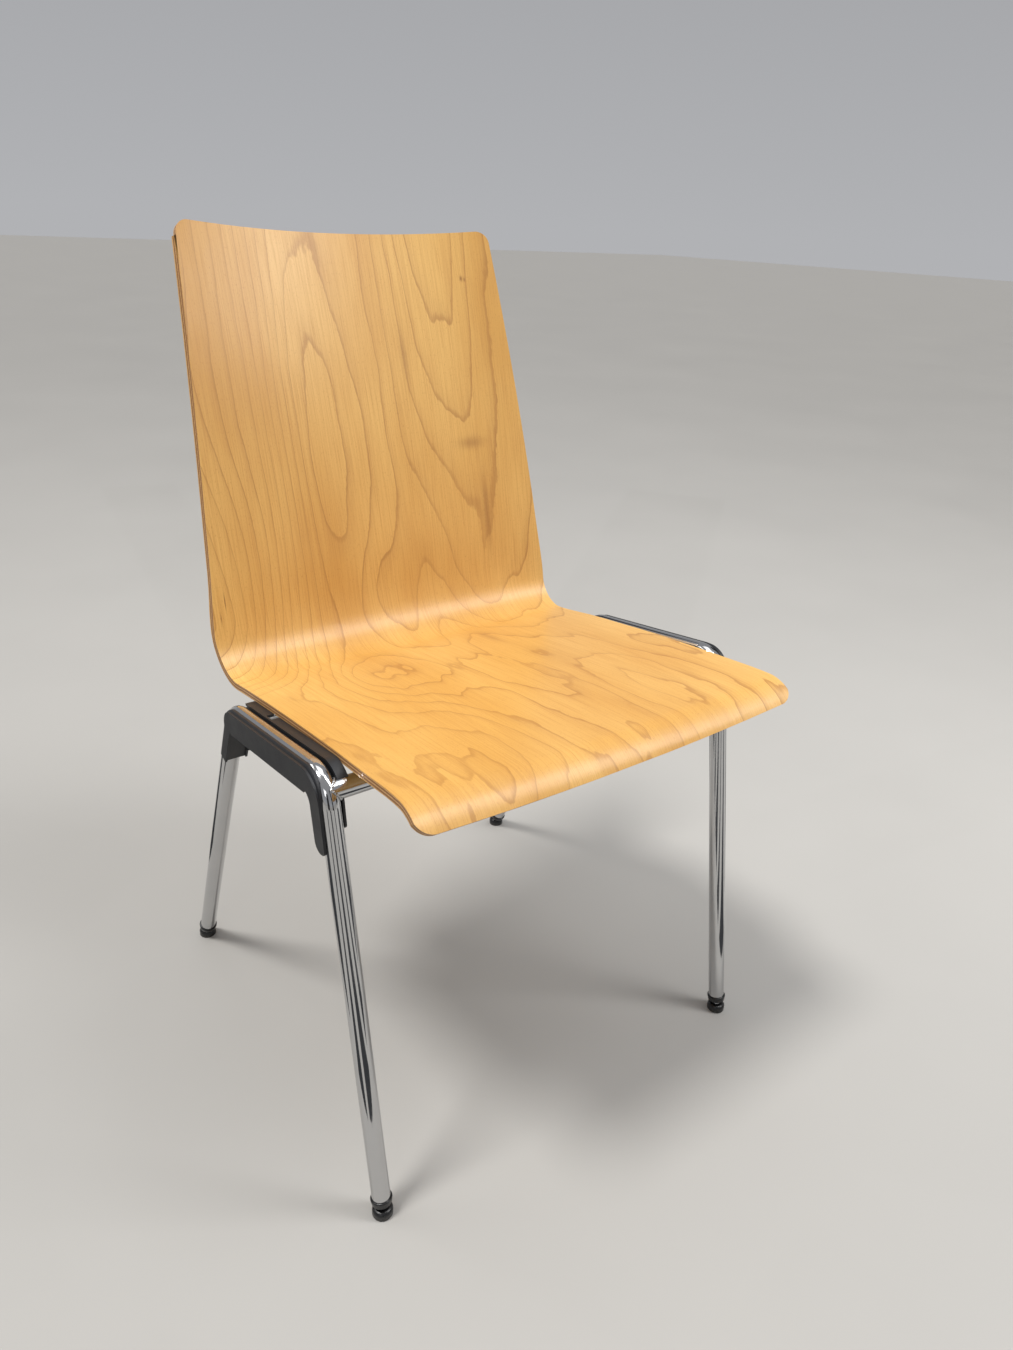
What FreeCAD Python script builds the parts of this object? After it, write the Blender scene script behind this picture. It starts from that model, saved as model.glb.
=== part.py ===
"""Stacking chair: moulded plywood shell on a chromed tube frame, millimetres, +Z up, the chair faces -Y."""
import FreeCAD
import Part
import math
import os

V = FreeCAD.Vector

# ---- moulded plywood shell: the profile is followed from the top of the back to the front lip
SHELL_T = 7.5
TOP_Y, TOP_Z = 248.0, 875.5
BACK_LEN = 421.8
LEAN_TOP, LEAN_LOW = 18.4, 10.7
BEND_R = 40.0
PITCH_REAR, PITCH_FRONT = 10.1, 4.7
SEAT_LEN = 336.5
LIP_R, LIP_DROP, LIP_LEN = 40.0, 59.0, 1.5
HALF_TOP, HALF_LOW, HALF_BEND, HALF_FRONT = 187.6, 223.3, 219.6, 221.5
SAG_TOP, SAG_LOW, SAG_SEAT, SAG_LIP = 30.5, 15.5, 4.1, 1.0
TOP_CORNER_R, FRONT_CORNER_R = 16.0, 17.0
FRONT_BOW, FRONT_CUT = 5.3, 42.0
SHELL_EDGE_R = 1.6

# ---- side frames: one bent tube per side, standing in a vertical plane
TUBE_R, TUBE_WALL = 9.5, 1.5
FRAME_X = 240.5
RAIL_Y0, RAIL_Z0, RAIL_RISE = 54.5, 428.5, 0.1546
FRONT_FOOT_Y, FRONT_RUN = -239.5, 0.183
REAR_FOOT_Y, REAR_RUN = 246.0, 0.457
FRAME_BEND_R = 27.0
TUBE_END = 14.0

# ---- cross tubes and seat straps
FRONT_CROSS_Z = 446.5
REAR_CROSS_Z = 415.0
STRAP_X, STRAP_W, STRAP_T = 110.0, 30.0, 4.0
STRAP_LIFT = 2.0
WELD_SINK = 0.4

# ---- seat fixings
SCREW_R, SCREW_HEAD_R, SCREW_HEAD_H = 3.0, 5.5, 3.2
SCREW_REACH = 4.0
HEX_R, HEX_DEEP = 2.3, 2.0
PAD_R = 12.0
INSERT_R, INSERT_DEEP, INSERT_SET = 5.0, 5.0, 0.3
FIX_FRACTIONS = (0.14, 0.86)

# ---- stacking mouldings; heights are measured from the tube's centre line, out of the arch
M_GAP = 0.3
M_WALL, M_HUG = 2.2, 1.6
M_WEB = 2.8
M_RIM_UP, M_LEG_UP, M_TAIL_UP = 6.2, -2.0, 4.0
M_REAR_MID, M_FRONT_MID = 4.0, 6.0
M_HUG_UP, M_HUG_REAR_MID, M_HUG_FRONT_MID = 8.2, 5.0, 7.6
M_DEEP, M_SKIRT = 14.5, 18.5
M_SKIRT_INSET, M_SKIRT_RUN = 9.0, 7.0
M_SHELF_UP, M_SHELF_T, M_SHELF_W = 7.5, 2.4, 8.0
M_SHELF_BACK = 12.0
M_REAR_LEN, M_TAIL_LEN, M_TAIL_IN_LEN = 47.0, 43.0, 24.0
M_TIP_R = 9.0
M_GUSSET_R, M_GUSSET_AHEAD, M_GUSSET_DOWN = 15.0, 7.0, 36.0
RIVET_R, RIVET_HEAD_R, RIVET_HEAD_H = 2.0, 4.0, 1.4

# ---- articulated glides
BALL_Z, BALL_R = 8.0, 4.5
BALL_FIT = 0.05
STUD_R = 1.8
FOOT_R, FOOT_H = 10.5, 10.0
FOOT_ROUND, FOOT_EDGE = 4.2, 1.2
FOOT_DISH_R, FOOT_DISH_H = 7.0, 0.6
SOCKET_OPEN = 46.0
COLLAR_R, COLLAR_LOW_R, COLLAR_LOW = 11.2, 9.9, 6.4
COLLAR_EDGE = 1.2
PLUG_FIT = 0.05
PLUG_LEN = 26.0

# ---- moves the whole chair so that the origin lies under the middle of its outline
PLAN_SHIFT = -4.39


def clean_union(solids):
    """One solid from overlapping ones, with the seams between coplanar faces removed."""
    shape = solids[0]
    for other in solids[1:]:
        shape = shape.fuse(other)
    return shape.removeSplitter()


def mirrored(shape):
    """The same part for the other side of the chair."""
    return shape.mirror(V(0, 0, 0), V(1, 0, 0))


# ------------------------------------------------------------------ shell

def profile_segments():
    """Lengths and headings of the profile; a heading of 0 is straight down, 90 is straight forward."""
    lean_low, rear, front = LEAN_LOW, 90.0 + PITCH_REAR, 90.0 + PITCH_FRONT
    low = 90.0 - LIP_DROP
    return [
        (BACK_LEN, LEAN_TOP, lean_low),
        (BEND_R * math.radians(rear - lean_low), lean_low, rear),
        (SEAT_LEN, rear, front),
        (LIP_R * math.radians(front - low), front, low),
        (LIP_LEN, low, low),
    ]


def profile_stations():
    """Points along the edge profile: distance, y, z and heading."""
    counts = (8, 7, 7, 6, 2)
    out = [(0.0, TOP_Y, TOP_Z, LEAN_TOP)]
    s, y, z = 0.0, TOP_Y, TOP_Z
    fine = 20
    for (length, a0, a1), count in zip(profile_segments(), counts):
        for i in range(count * fine):
            a = math.radians(a0 + (a1 - a0) * (i + 0.5) / (count * fine))
            step = length / (count * fine)
            s += step
            y -= math.sin(a) * step
            z -= math.cos(a) * step
            if (i + 1) % fine == 0:
                out.append((s, y, z, a0 + (a1 - a0) * (i + 1) / (count * fine)))
    return out


def along(s, values):
    """Linear interpolation of one value per profile mark at distance s."""
    marks = [0.0]
    for length, _, _ in profile_segments():
        marks.append(marks[-1] + length)
    for i in range(len(marks) - 1):
        if s <= marks[i + 1]:
            t = (s - marks[i]) / (marks[i + 1] - marks[i])
            return values[i] + (values[i + 1] - values[i]) * t
    return values[-1]


def half_width(s):
    return along(s, (HALF_TOP, HALF_LOW, HALF_BEND, HALF_BEND, HALF_FRONT, HALF_FRONT))


def sag(s):
    return along(s, (SAG_TOP, SAG_LOW, SAG_SEAT, SAG_SEAT, SAG_LIP, SAG_LIP))


def shell_section(station):
    """Closed wire across the shell: a shallow arc for the sitting face and a concentric one behind it."""
    s, y, z, heading = station
    a = math.radians(heading)
    normal = V(0, math.cos(a), -math.sin(a))
    base = V(0, y, z)
    w, c = half_width(s), sag(s)
    radius = (w * w + c * c) / (2.0 * c)
    centre = c - radius
    edge = math.atan2(w, -centre)

    def at(r, angle):
        return base + V(r * math.sin(angle), 0, 0) + normal * (centre + r * math.cos(angle))

    near = Part.Arc(at(radius, -edge), at(radius, 0), at(radius, edge)).toShape()
    outer = radius + SHELL_T
    far = Part.Arc(at(outer, edge), at(outer, 0), at(outer, -edge)).toShape()
    right = Part.makeLine(at(radius, edge), at(outer, edge))
    left = Part.makeLine(at(outer, -edge), at(radius, -edge))
    return Part.Wire([near, right, far, left])


def corner_cutter(corner, inward_a, inward_b, radius, depth_dir):
    """What is left of a square corner once a quarter circle is taken out, as a prism along depth_dir."""
    reach = 6.0
    depth = 120.0
    a, b = inward_a, inward_b
    tan_a = corner + a * radius
    tan_b = corner + b * radius
    centre = corner + a * radius + b * radius
    mid = centre - (a + b).normalize() * radius
    out = corner - a * reach - b * reach
    outline = Part.Wire([
        Part.Arc(tan_a, mid, tan_b).toShape(),
        Part.makeLine(tan_b, tan_b - a * reach),
        Part.makeLine(tan_b - a * reach, out),
        Part.makeLine(out, tan_a - b * reach),
        Part.makeLine(tan_a - b * reach, tan_a),
    ])
    outline.translate(depth_dir * (-depth / 2))
    return Part.Face(outline).extrude(depth_dir * depth)


def top_corner_cutter():
    lean = math.radians(LEAN_TOP)
    normal = V(0, math.cos(lean), -math.sin(lean))
    down = V(0, -math.sin(lean), -math.cos(lean))
    taper = (HALF_LOW - HALF_TOP) / BACK_LEN
    edge_dir = (down + V(taper, 0, 0)).normalize()
    corner = V(HALF_TOP, TOP_Y, TOP_Z)
    return corner_cutter(corner, V(-1, 0, 0), edge_dir, TOP_CORNER_R, normal)


def front_cutter():
    """Trims the front edge square to the sheet: a shallow bow with rounded corners."""
    cut = math.radians(FRONT_CUT)
    depth_dir = V(0, math.cos(cut), -math.sin(cut))
    ahead = V(0, -math.sin(cut), -math.cos(cut))
    tip_y, tip_z = profile_stations()[-1][1:3]
    q_tip = V(0, tip_y, tip_z).dot(ahead)
    q_side = q_tip - FRONT_BOW
    w, r = HALF_FRONT, FRONT_CORNER_R
    rise = (q_tip - q_side) * (1.0 - ((w - r) / w) ** 2)
    corner = r * (1.0 - math.sqrt(0.5))
    reach, depth = 60.0, 160.0

    def at(x, q):
        return V(x, 0, 0) + ahead * q

    far = q_tip + reach
    q_start, q_turn, q_end = q_side - r, q_side - corner + rise / 2, q_side + rise
    outline = Part.Wire([
        Part.Arc(at(w, q_start), at(w - corner, q_turn), at(w - r, q_end)).toShape(),
        Part.Arc(at(w - r, q_end), at(0, q_tip), at(r - w, q_end)).toShape(),
        Part.Arc(at(r - w, q_end), at(corner - w, q_turn), at(-w, q_start)).toShape(),
        Part.makeLine(at(-w, q_start), at(-w - reach, q_start)),
        Part.makeLine(at(-w - reach, q_start), at(-w - reach, far)),
        Part.makeLine(at(-w - reach, far), at(w + reach, far)),
        Part.makeLine(at(w + reach, far), at(w + reach, q_start)),
        Part.makeLine(at(w + reach, q_start), at(w, q_start)),
    ])
    centre = V(0, tip_y, tip_z).dot(depth_dir)
    outline.translate(depth_dir * (centre - depth / 2))
    return Part.Face(outline).extrude(depth_dir * depth)


def seat_shell():
    stations = profile_stations()
    body = Part.makeLoft([shell_section(st) for st in stations], True, False)
    cutter = top_corner_cutter()
    body = body.cut(cutter).cut(mirrored(cutter)).cut(front_cutter())
    body = body.Solids[0]
    shortest = 15.0
    rim = [e for e in body.Edges if e.Length > shortest]
    for radius in (SHELL_EDGE_R, SHELL_EDGE_R / 2):
        try:
            rounded = body.makeFillet(radius, rim)
        except Part.OCCError:
            continue
        if rounded.isValid():
            return rounded.Solids[0]
    return body


# ------------------------------------------------------------------ side frame path

def front_corner():
    z = (RAIL_Z0 + (RAIL_Y0 - FRONT_FOOT_Y) * RAIL_RISE) / (1 + FRONT_RUN * RAIL_RISE)
    return V(0, FRONT_FOOT_Y + FRONT_RUN * z, z)


def rear_corner():
    z = (RAIL_Z0 + (RAIL_Y0 - REAR_FOOT_Y) * RAIL_RISE) / (1 - REAR_RUN * RAIL_RISE)
    return V(0, REAR_FOOT_Y - REAR_RUN * z, z)


def front_down():
    return V(0, -FRONT_RUN, -1).normalize()


def rear_down():
    return V(0, REAR_RUN, -1).normalize()


def forward():
    return V(0, -1, RAIL_RISE).normalize()


def ball_centre(front):
    y = FRONT_FOOT_Y + FRONT_RUN * BALL_Z if front else REAR_FOOT_Y - REAR_RUN * BALL_Z
    return V(0, y, BALL_Z)


def side_normal(direction):
    """Unit vector in the frame's plane that points out of the arch, for travel from rear to front."""
    return V(0, direction.z, -direction.y)


def bend_points(corner, d_in, d_out, offset):
    """Start, middle and end of the arc that rounds a corner, moved out of the arch by offset."""
    cosine = d_in.dot(d_out)
    half = math.acos(cosine) / 2
    tangent = FRAME_BEND_R * math.tan(half)
    start, end = corner - d_in * tangent, corner + d_out * tangent
    inward = (d_out - d_in).normalize()
    centre = corner + inward * (FRAME_BEND_R / math.cos(half))
    mid = centre - inward * FRAME_BEND_R
    r = FRAME_BEND_R + offset
    return [centre + (p - centre) * (r / FRAME_BEND_R) for p in (start, mid, end)]


def offset_path(offset, rear_len, front_len):
    """Edges of the rail line moved out of the arch by offset, with some rear and front leg on its ends."""
    up_rear = rear_down() * -1
    r0, r1, r2 = bend_points(rear_corner(), up_rear, forward(), offset)
    f0, f1, f2 = bend_points(front_corner(), forward(), front_down(), offset)
    edges = []
    if rear_len > 0:
        edges.append(Part.makeLine(r0 - up_rear * rear_len, r0))
        edges.append(Part.Arc(r0, r1, r2).toShape())
    edges.append(Part.makeLine(r2, f0))
    if front_len > 0:
        edges.append(Part.Arc(f0, f1, f2).toShape())
        edges.append(Part.makeLine(f2, f2 + front_down() * front_len))
    return edges


def leg_len(front):
    """From the end of the bend to the cut end of the tube."""
    if front:
        start = bend_points(front_corner(), forward(), front_down(), 0)[2]
    else:
        start = bend_points(rear_corner(), rear_down() * -1, forward(), 0)[0]
    return (ball_centre(front) - start).Length - TUBE_END


def swept_rod(radius):
    wire = Part.Wire(offset_path(0, leg_len(False), leg_len(True)))
    start = wire.OrderedVertexes[0].Point
    ring = Part.Wire(Part.Circle(start, rear_down(), radius).toShape())
    return wire.makePipeShell([ring], True, False)


def side_tube():
    tube = swept_rod(TUBE_R).cut(swept_rod(TUBE_R - TUBE_WALL))
    tube.translate(V(FRAME_X, 0, 0))
    return tube


def front_cross_centre():
    """Where the front cross tube meets the centre line of the side frame, low on the front bend."""
    f0, f1, f2 = bend_points(front_corner(), forward(), front_down(), 0)
    middle = (f0 + f2) * 0.5
    hub = f1 + (middle - f1).normalize() * FRAME_BEND_R
    rise = FRONT_CROSS_Z - hub.z
    return V(0, hub.y - math.sqrt(FRAME_BEND_R ** 2 - rise ** 2), FRONT_CROSS_Z)


def rear_cross_centre():
    return V(0, REAR_FOOT_Y - REAR_RUN * REAR_CROSS_Z, REAR_CROSS_Z)


def cross_tube(centre):
    """Straight tube between the side frames, its ends coped to the side tubes."""
    rod = Part.makeCylinder(TUBE_R, 2 * FRAME_X, V(-FRAME_X, centre.y, centre.z), V(1, 0, 0))
    bore = Part.makeCylinder(TUBE_R - TUBE_WALL, 2 * FRAME_X, V(-FRAME_X, centre.y, centre.z), V(1, 0, 0))
    cope = swept_rod(TUBE_R - WELD_SINK)
    cope.translate(V(FRAME_X, 0, 0))
    tube = rod.cut(bore).cut(cope).cut(mirrored(cope))
    return max(tube.Solids, key=lambda s: s.Volume)


# ------------------------------------------------------------------ seat straps and fixings

def strap_frame():
    """Rear cross centre, unit direction forward, unit normal upward and the span between the tubes."""
    front, rear = front_cross_centre(), rear_cross_centre()
    run = (front - rear).normalize()
    return rear, run, V(0, run.z, -run.y), (front - rear).Length


def strap_blank():
    """Flat bar between the two cross tubes, its ends coped to them."""
    start, run, up, span = strap_frame()
    side = V(STRAP_W, 0, 0)
    origin = V(STRAP_X - STRAP_W / 2, start.y, start.z) + up * STRAP_LIFT
    corners = [origin, origin + side, origin + side + run * span, origin + run * span]
    bar = Part.Face(Part.makePolygon(corners + [origin])).extrude(up * STRAP_T)
    for end in (front_cross_centre(), rear_cross_centre()):
        bar = bar.cut(Part.makeCylinder(TUBE_R - WELD_SINK, 2 * FRAME_X, V(0, end.y, end.z), V(1, 0, 0)))
    return bar


def fixing_points(x):
    """Centres on the strap's upper face where the shell is screwed down."""
    start, run, up, span = strap_frame()
    points = []
    for f in FIX_FRACTIONS:
        p = start + run * (span * f) + up * (STRAP_LIFT + STRAP_T)
        points.append(V(x, p.y, p.z))
    return points


def strap():
    _, _, up, _ = strap_frame()
    bar = strap_blank()
    for p in fixing_points(STRAP_X):
        bar = bar.cut(Part.makeCylinder(SCREW_R + 0.4, STRAP_T * 3, p - up * STRAP_T * 2, up))
    return bar


def spacer_pads(shell):
    """Round pads that fill the gap between strap and shell, each shaped to the shell's underside."""
    _, _, up, _ = strap_frame()
    pads = []
    for x in (-STRAP_X, STRAP_X):
        for p in fixing_points(x):
            reach = 20.0
            post = Part.makeCylinder(PAD_R, reach, p, up)
            post = post.cut(Part.makeCylinder(SCREW_R + 0.2, reach, p, up))
            cut = post.cut(shell)
            pads.append(min(cut.Solids, key=lambda s: (s.CenterOfMass - p).Length))
    return Part.makeCompound(pads)


def pad_top(shell, p, up):
    """Height above the strap at which the axis meets the shell's underside."""
    line = Part.makeLine(p, p + up * 40.0)
    hit = line.common(shell)
    return min((v.Point - p).dot(up) for v in hit.Vertexes)


def inserts(shell):
    """Threaded sleeves let into the shell from below; they stop short of the sitting face."""
    _, _, up, _ = strap_frame()
    out = []
    for x in (-STRAP_X, STRAP_X):
        for p in fixing_points(x):
            h = pad_top(shell, p, up)
            base = p + up * (h + INSERT_SET)
            sleeve = Part.makeCylinder(INSERT_R, INSERT_DEEP, base, up)
            out.append(sleeve.cut(Part.makeCylinder(SCREW_R, INSERT_DEEP, base, up)))
    return Part.makeCompound(out)


def insert_pockets(shell):
    _, _, up, _ = strap_frame()
    out = []
    for x in (-STRAP_X, STRAP_X):
        for p in fixing_points(x):
            base = p + up * (pad_top(shell, p, up) - INSERT_R)
            out.append(Part.makeCylinder(INSERT_R, INSERT_R + INSERT_SET + INSERT_DEEP, base, up))
    return out


def seat_screws(shell):
    """Socket button-head screws put in from below through strap and pad."""
    _, _, up, _ = strap_frame()
    out = []
    for x in (-STRAP_X, STRAP_X):
        for p in fixing_points(x):
            length = STRAP_T + pad_top(shell, p, up) + SCREW_REACH - 1.0
            under = p - up * STRAP_T
            shank = Part.makeCylinder(SCREW_R - 0.05, length, under, up)
            head = Part.makeCylinder(SCREW_HEAD_R, SCREW_HEAD_H, under - up * SCREW_HEAD_H, up)
            low = [e for e in head.Edges if e.Curve.TypeId == "Part::GeomCircle"
                   and (e.Curve.Center - under).Length > 1.0]
            head = head.makeFillet(SCREW_HEAD_H * 0.6, low)
            hexagon = [under - up * SCREW_HEAD_H + V(HEX_R * math.cos(k * math.pi / 3), 0, 0)
                       + up.cross(V(1, 0, 0)) * (HEX_R * math.sin(k * math.pi / 3)) for k in range(6)]
            socket = Part.Face(Part.makePolygon(hexagon + [hexagon[0]])).extrude(up * HEX_DEEP)
            out.append(shank.fuse(head).cut(socket).removeSplitter())
    return Part.makeCompound(out)


# ------------------------------------------------------------------ stacking moulding

def rear_point(down, out):
    """Point beside the rear leg: down along it from the end of its bend, and out of the arch."""
    up = rear_down() * -1
    r0 = bend_points(rear_corner(), up, forward(), 0)[0]
    return r0 - up * down + side_normal(up) * out


def front_point(down, out):
    """Point beside the front leg: down along it from the end of its bend, and out of the arch."""
    f2 = bend_points(front_corner(), forward(), front_down(), 0)[2]
    return f2 + front_down() * down + side_normal(front_down()) * out


def rail_point(ahead, out):
    """Point beside the rail: ahead of the end of the rear bend, and out of the arch."""
    r2 = bend_points(rear_corner(), rear_down() * -1, forward(), 0)[2]
    return r2 + forward() * ahead + side_normal(forward()) * out


def rail_len():
    f0 = bend_points(front_corner(), forward(), front_down(), 0)[0]
    return (f0 - rail_point(0, 0)).Length


def bend_middle(front, out):
    if front:
        return bend_points(front_corner(), forward(), front_down(), out)[1]
    return bend_points(rear_corner(), rear_down() * -1, forward(), out)[1]


def arc(a, b, c):
    return Part.Arc(a, b, c).toShape()


def plate(edges, x0, x1):
    """Closed outline in the frame's plane, thickened from x0 to x1."""
    face = Part.Face(Part.Wire(Part.__sortEdges__(edges)))
    face.translate(V(x0, 0, 0))
    return face.extrude(V(x1 - x0, 0, 0))


def arch_edges(out, rear_len, tail_len):
    """Inner outline of the arch at one height, from the rear leg over the rail to the front leg."""
    return [
        Part.makeLine(rear_point(rear_len, out), rear_point(0, out)),
        arc(rear_point(0, out), bend_middle(False, out), rail_point(0, out)),
        Part.makeLine(rail_point(0, out), rail_point(rail_len(), out)),
        arc(rail_point(rail_len(), out), bend_middle(True, out), front_point(0, out)),
        Part.makeLine(front_point(0, out), front_point(tail_len, out)),
    ]


def side_wall(x0, x1, rail_up, rear_mid, front_mid, tail=M_TAIL_LEN):
    """One cheek of the channel: proud along the rail, drawn back on the legs, with a rounded tail."""
    tip = M_TIP_R
    upper = [
        Part.makeLine(rear_point(M_REAR_LEN, M_LEG_UP), rear_point(0, M_LEG_UP)),
        arc(rear_point(0, M_LEG_UP), bend_middle(False, rear_mid), rail_point(0, rail_up)),
        Part.makeLine(rail_point(0, rail_up), rail_point(rail_len(), rail_up)),
        arc(rail_point(rail_len(), rail_up), bend_middle(True, front_mid), front_point(0, M_TAIL_UP)),
        Part.makeLine(front_point(0, M_TAIL_UP), front_point(tail - 4, M_TAIL_UP - 1)),
    ]
    end = [
        arc(front_point(tail - 4, M_TAIL_UP - 1), front_point(tail - 0.8, M_TAIL_UP - 3),
            front_point(tail, -M_DEEP + tip + 3)),
        arc(front_point(tail, -M_DEEP + tip + 3), front_point(tail - 2.4, -M_DEEP + 3.2),
            front_point(tail - tip, -M_DEEP)),
    ]
    lower = arch_edges(-M_DEEP, M_REAR_LEN, tail - tip)
    heel = Part.makeLine(rear_point(M_REAR_LEN, -M_DEEP), rear_point(M_REAR_LEN, M_LEG_UP))
    return plate(upper + end + lower + [heel], x0, x1)


def skirt(x0, x1):
    """Deeper part of a cheek under the rail, with sloping ends."""
    length = rail_len() + M_SKIRT_INSET
    top = -M_DEEP + 1.0
    outline = [
        rail_point(-M_SKIRT_INSET, top),
        rail_point(-M_SKIRT_INSET + M_SKIRT_RUN, -M_SKIRT),
        rail_point(length - M_SKIRT_RUN, -M_SKIRT),
        rail_point(length, top),
    ]
    face = Part.Face(Part.makePolygon(outline + outline[:1])).translated(V(x0, 0, 0))
    return face.extrude(V(x1 - x0, 0, 0))


def web(x0, x1):
    """Floor of the channel, which bears on the inside of the bent tube."""
    low, high = -(TUBE_R + M_GAP + M_WEB), -(TUBE_R + M_GAP)
    tail = M_TAIL_LEN - M_TIP_R
    ends = [
        Part.makeLine(rear_point(M_REAR_LEN, low), rear_point(M_REAR_LEN, high)),
        Part.makeLine(front_point(tail, low), front_point(tail, high)),
    ]
    return plate(arch_edges(low, M_REAR_LEN, tail) + arch_edges(high, M_REAR_LEN, tail) + ends, x0, x1)


def shelf(x0, x1):
    """Flat inner flange beside the shell; it runs over the front bend and ends at the cross tube."""
    low, high = M_SHELF_UP - M_SHELF_T, M_SHELF_UP
    edges = [
        Part.makeLine(rail_point(-M_SHELF_BACK, low), rail_point(rail_len(), low)),
        arc(rail_point(rail_len(), low), bend_middle(True, low), front_point(0, M_TAIL_UP - M_SHELF_T)),
        Part.makeLine(front_point(0, M_TAIL_UP - M_SHELF_T), front_point(0, M_TAIL_UP)),
        arc(front_point(0, M_TAIL_UP), bend_middle(True, high), rail_point(rail_len(), high)),
        Part.makeLine(rail_point(rail_len(), high), rail_point(-M_SHELF_BACK, high)),
        Part.makeLine(rail_point(-M_SHELF_BACK, high), rail_point(-M_SHELF_BACK, low)),
    ]
    flange = plate(edges, x0, x1)
    below = V(x0 - 1.0, -FRAME_X, front_cross_centre().z - FRAME_X)
    return flange.cut(Part.makeBox(FRAME_X, FRAME_X, FRAME_X, below))


def hugging_lip(x0, x1):
    """Thin curved lip of the outer cheek that follows the tube's shoulder above the cheek's rim."""
    ring = swept_rod(TUBE_R + M_GAP + M_HUG).cut(swept_rod(TUBE_R + M_GAP))
    ring.translate(V(FRAME_X, 0, 0))
    return ring.common(side_wall(x0, x1, M_HUG_UP, M_HUG_REAR_MID, M_HUG_FRONT_MID))


def gusset(x0, x1):
    """Rounded stiffener of the inner cheek in the rear corner of the arch."""
    centre = rear_corner() + rear_down() * M_GUSSET_DOWN - side_normal(rear_down() * -1) * M_GUSSET_AHEAD
    return Part.makeCylinder(M_GUSSET_R, x1 - x0, V(x0, centre.y, centre.z), V(1, 0, 0))


def stack_moulding():
    """Channel that holds the tube from inside the arch, with a lip outside and a shelf inside."""
    out0 = FRAME_X + TUBE_R + M_GAP
    out1 = out0 + M_WALL
    in1 = FRAME_X - TUBE_R - M_GAP
    in0 = in1 - M_WALL
    solids = [
        side_wall(out0, out1, M_RIM_UP, M_REAR_MID, M_FRONT_MID),
        hugging_lip(FRAME_X + M_RIM_UP / 2, out1),
        skirt(out0, out1),
        web(in0, out1),
        side_wall(in0, in1, M_SHELF_UP, M_REAR_MID, M_FRONT_MID, M_TAIL_IN_LEN),
        shelf(in0 - M_SHELF_W, in1),
        gusset(in0, in1),
    ]
    moulding = clean_union(solids)
    for c in (front_cross_centre(), rear_cross_centre()):
        moulding = moulding.cut(Part.makeCylinder(TUBE_R + M_GAP, FRAME_X, V(0, c.y, c.z), V(1, 0, 0)))
    return max(moulding.Solids, key=lambda s: s.Volume)


def rivet_stations():
    """Points on the tube's centre line, with the direction from the arch towards the tube."""
    start = bend_points(rear_corner(), rear_down() * -1, forward(), 0)[2]
    end = bend_points(front_corner(), forward(), front_down(), 0)[0]
    up = V(0, RAIL_RISE, 1).normalize()
    return [(start + (end - start) * f, up) for f in (0.2, 0.8)]


def rivet_holes(radius):
    out = []
    for p, up in rivet_stations():
        low = p - up * (M_SKIRT + 4.0) + V(FRAME_X, 0, 0)
        out.append(Part.makeCylinder(radius, M_SKIRT + 4.0, low, up))
    return out


def moulding_rivets():
    """Blind rivets that hold the mouldings to the side tubes from below."""
    out = []
    for p, up in rivet_stations():
        seat = p - up * (TUBE_R + M_GAP + M_WEB) + V(FRAME_X, 0, 0)
        body = Part.makeCylinder(RIVET_R, M_WEB + M_GAP + TUBE_WALL + 2.5, seat, up)
        head = Part.makeCylinder(RIVET_HEAD_R, RIVET_HEAD_H, seat - up * RIVET_HEAD_H, up)
        low = [e for e in head.Edges if e.Curve.TypeId == "Part::GeomCircle"
               and (e.Curve.Center - seat).Length > 0.5]
        head = head.makeFillet(RIVET_HEAD_H * 0.6, low)
        out.append(body.fuse(head).removeSplitter())
    return Part.makeCompound(out + [mirrored(r) for r in out])


# ------------------------------------------------------------------ glides

def leg_axis(front):
    return (front_down() if front else rear_down()) * -1


def circles(shape):
    return [e for e in shape.Edges if e.Curve.TypeId == "Part::GeomCircle"]


def glide_plug(front):
    """Plastic insert pressed into the tube end, with a flared collar that covers the cut."""
    up = leg_axis(front)
    c = ball_centre(front)
    height = TUBE_END - COLLAR_LOW
    collar = Part.makeCone(COLLAR_LOW_R, COLLAR_R, height, c + up * COLLAR_LOW, up)
    collar = collar.makeFillet(COLLAR_EDGE, circles(collar))
    shank_r = TUBE_R - TUBE_WALL - PLUG_FIT
    shank = Part.makeCylinder(shank_r, PLUG_LEN, c + up * (TUBE_END - 1.0), up)
    bore = Part.makeCylinder(STUD_R, PLUG_LEN, c + up * (COLLAR_LOW - 2.0), up)
    plug = collar.fuse(shank).cut(bore).removeSplitter()
    plug.translate(V(FRAME_X, 0, 0))
    return plug


def glide_stud(front):
    """Steel pin with a ball at its lower end, pressed into the plug."""
    up = leg_axis(front)
    c = ball_centre(front)
    pin = Part.makeCylinder(STUD_R, PLUG_LEN + COLLAR_LOW - 3.0, c + up, up)
    stud = Part.makeSphere(BALL_R, c).fuse(pin).removeSplitter()
    stud.translate(V(FRAME_X, 0, 0))
    return stud


def glide_foot(front):
    """Squat swivelling foot with the socket that snaps over the ball."""
    c = ball_centre(front)
    foot = Part.makeCylinder(FOOT_R, FOOT_H, V(0, c.y, 0), V(0, 0, 1))
    foot = foot.makeFillet(FOOT_ROUND, [e for e in circles(foot) if e.Curve.Center.z > FOOT_H / 2])
    foot = foot.makeFillet(FOOT_EDGE, [e for e in circles(foot) if e.Curve.Center.z < FOOT_EDGE])
    reach = 12.0
    cone = Part.makeCone(0, reach * math.tan(math.radians(SOCKET_OPEN)), reach, c, V(0, 0, 1))
    foot = foot.cut(Part.makeSphere(BALL_R + BALL_FIT, c)).cut(cone)
    foot = foot.cut(Part.makeCylinder(FOOT_DISH_R, FOOT_DISH_H, V(0, c.y, 0), V(0, 0, 1)))
    foot = foot.removeSplitter()
    foot.translate(V(FRAME_X, 0, 0))
    return foot


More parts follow.
